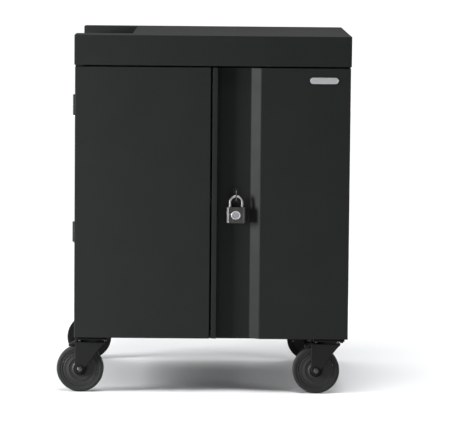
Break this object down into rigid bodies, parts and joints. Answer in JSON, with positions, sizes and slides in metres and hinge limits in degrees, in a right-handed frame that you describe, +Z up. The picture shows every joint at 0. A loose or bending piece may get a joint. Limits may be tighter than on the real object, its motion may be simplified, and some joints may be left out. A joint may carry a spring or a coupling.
{
  "type": "laptop charging cart",
  "caption": "Steel laptop charging cart with two front doors, vertical device bays on two tiers, padlock hasp, handle well, louvred rear door and swivel casters.",
  "frame": {"origin": "on the floor, under the middle of the whole cart with its wheels trailing to the left", "axes": "+X to the right seen from the front, +Y to the back, +Z up"},
  "size_m": [0.7857, 0.6957, 0.9645],
  "materials": {
    "body_paint": "fine-textured charcoal powder coat",
    "inner_paint": "charcoal powder coat",
    "handle_grip": "black powder coat",
    "device_plastic": "fine spark-eroded black",
    "switch_plastic": "satin black",
    "lead_jacket": "matt black sheath",
    "plated_steel": "bright zinc plate",
    "badge_metal": "satin",
    "shackle_chrome": "polished",
    "padlock_case": "satin plated",
    "key_brass": "turned",
    "caster_steel": "black coat",
    "wheel_core": "moulded black",
    "wheel_tread": "dark grey tread"
  },
  "bodies": {
    "root": {"left_side_panel": "body_paint", "right_side_panel": "body_paint", "top_cover": "body_paint", "handle_tray": "body_paint", "rear_panel": "body_paint", "base_pan": "inner_paint", "mid_shelf": "inner_paint", "partition_panel": "inner_paint", "lower_rack": "inner_paint", "upper_rack": "inner_paint", "push_handle": "handle_grip", "upper_outlet_strip": "device_plastic", "lower_outlet_strip": "device_plastic", "charge_controller": "device_plastic", "power_inlet": "device_plastic", "left_door_catch": "switch_plastic", "right_door_catch": "switch_plastic", "inlet_lead": "lead_jacket", "lower_strip_lead": "lead_jacket", "upper_strip_lead": "lead_jacket", "left_hinge_pin_upper": "plated_steel", "left_hinge_pin_lower": "plated_steel", "right_hinge_pin_upper": "plated_steel", "right_hinge_pin_lower": "plated_steel", "rear_hinge_pin_upper": "plated_steel", "rear_hinge_pin_lower": "plated_steel", "caster_front_left_plate": "caster_steel", "caster_front_right_plate": "caster_steel", "caster_rear_left_plate": "caster_steel", "caster_rear_right_plate": "caster_steel"},
    "left_door": {"left_door": "body_paint"},
    "right_door": {"right_door": "body_paint", "hasp_tab": "body_paint", "badge_plate": "badge_metal"},
    "rear_door": {"rear_door": "body_paint"},
    "rear_lock": {"rear_cam_lock": "plated_steel"},
    "shackle": {"padlock_shackle": "shackle_chrome"},
    "lock_body": {"padlock_body": "padlock_case", "padlock_disc": "badge_metal"},
    "lock_cylinder": {"padlock_cylinder": "key_brass"},
    "rocker": {"power_rocker": "switch_plastic"},
    "front_left_swivel": {"caster_front_left_fork": "caster_steel", "caster_front_left_axle": "plated_steel"},
    "front_left_wheel": {"caster_front_left_hub": "wheel_core", "caster_front_left_tyre": "wheel_tread"},
    "front_left_brake": {"caster_front_left_brake": "caster_steel"},
    "front_right_swivel": {"caster_front_right_fork": "caster_steel", "caster_front_right_axle": "plated_steel"},
    "front_right_wheel": {"caster_front_right_hub": "wheel_core", "caster_front_right_tyre": "wheel_tread"},
    "front_right_brake": {"caster_front_right_brake": "caster_steel"},
    "rear_left_swivel": {"caster_rear_left_fork": "caster_steel", "caster_rear_left_axle": "plated_steel"},
    "rear_left_wheel": {"caster_rear_left_hub": "wheel_core", "caster_rear_left_tyre": "wheel_tread"},
    "rear_right_swivel": {"caster_rear_right_fork": "caster_steel", "caster_rear_right_axle": "plated_steel"},
    "rear_right_wheel": {"caster_rear_right_hub": "wheel_core", "caster_rear_right_tyre": "wheel_tread"}
  },
  "joints": [
    {"name": "left_door_hinge", "type": "hinge", "parent": "root", "child": "left_door", "pos_m": [-0.34665, -0.331, 0.5145], "axis": [0, 0, -1], "range_deg": [0, 165]},
    {"name": "right_door_hinge", "type": "hinge", "parent": "root", "child": "right_door", "pos_m": [0.38625, -0.331, 0.5145], "axis": [0, 0, 1], "range_deg": [0, 150]},
    {"name": "rear_door_hinge", "type": "hinge", "parent": "root", "child": "rear_door", "pos_m": [0.38625, 0.331, 0.5695], "axis": [0, 0, -1], "range_deg": [0, 120]},
    {"name": "rear_lock_turn", "type": "hinge", "parent": "rear_door", "child": "rear_lock", "pos_m": [-0.30725, 0.342, 0.5695], "axis": [0, -1, 0], "range_deg": [0, 90]},
    {"name": "padlock_swing", "type": "hinge", "parent": "right_door", "child": "shackle", "pos_m": [0.08755, -0.338, 0.5349], "axis": [-1, 0, 0], "range_deg": [0, 60]},
    {"name": "padlock_release", "type": "slide", "parent": "shackle", "child": "lock_body", "axis": [0, 0, -1], "range_m": [0, 0.0085]},
    {"name": "padlock_key_turn", "type": "hinge", "parent": "lock_body", "child": "lock_cylinder", "pos_m": [0.08755, -0.338, 0.4725], "axis": [0, 0, 1], "range_deg": [0, 90]},
    {"name": "power_rocker_tilt", "type": "hinge", "parent": "root", "child": "rocker", "pos_m": [0.27275, 0.341, 0.2225], "axis": [1, 0, 0], "range_deg": [0, 12]},
    {"name": "front_left_swivel", "type": "hinge", "parent": "root", "child": "front_left_swivel", "pos_m": [-0.2955, -0.3036, 0.134], "axis": [0, 0, 1], "continuous": true},
    {"name": "front_left_wheel_spin", "type": "hinge", "parent": "front_left_swivel", "child": "front_left_wheel", "pos_m": [-0.3295, -0.3036, 0.0635], "axis": [0, 1, 0], "continuous": true},
    {"name": "front_left_brake_press", "type": "hinge", "parent": "front_left_swivel", "child": "front_left_brake", "pos_m": [-0.3385, -0.3036, 0.1312], "axis": [0, -1, 0], "range_deg": [0, 9]},
    {"name": "front_right_swivel", "type": "hinge", "parent": "root", "child": "front_right_swivel", "pos_m": [0.341, -0.3036, 0.134], "axis": [0, 0, 1], "continuous": true},
    {"name": "front_right_wheel_spin", "type": "hinge", "parent": "front_right_swivel", "child": "front_right_wheel", "pos_m": [0.307, -0.3036, 0.0635], "axis": [0, 1, 0], "continuous": true},
    {"name": "front_right_brake_press", "type": "hinge", "parent": "front_right_swivel", "child": "front_right_brake", "pos_m": [0.298, -0.3036, 0.1312], "axis": [0, -1, 0], "range_deg": [0, 9]},
    {"name": "rear_left_swivel", "type": "hinge", "parent": "root", "child": "rear_left_swivel", "pos_m": [-0.2955, 0.3036, 0.134], "axis": [0, 0, 1], "continuous": true},
    {"name": "rear_left_wheel_spin", "type": "hinge", "parent": "rear_left_swivel", "child": "rear_left_wheel", "pos_m": [-0.3295, 0.3036, 0.0635], "axis": [0, 1, 0], "continuous": true},
    {"name": "rear_right_swivel", "type": "hinge", "parent": "root", "child": "rear_right_swivel", "pos_m": [0.341, 0.3036, 0.134], "axis": [0, 0, 1], "continuous": true},
    {"name": "rear_right_wheel_spin", "type": "hinge", "parent": "rear_right_swivel", "child": "rear_right_wheel", "pos_m": [0.307, 0.3036, 0.0635], "axis": [0, 1, 0], "continuous": true}
  ]
}
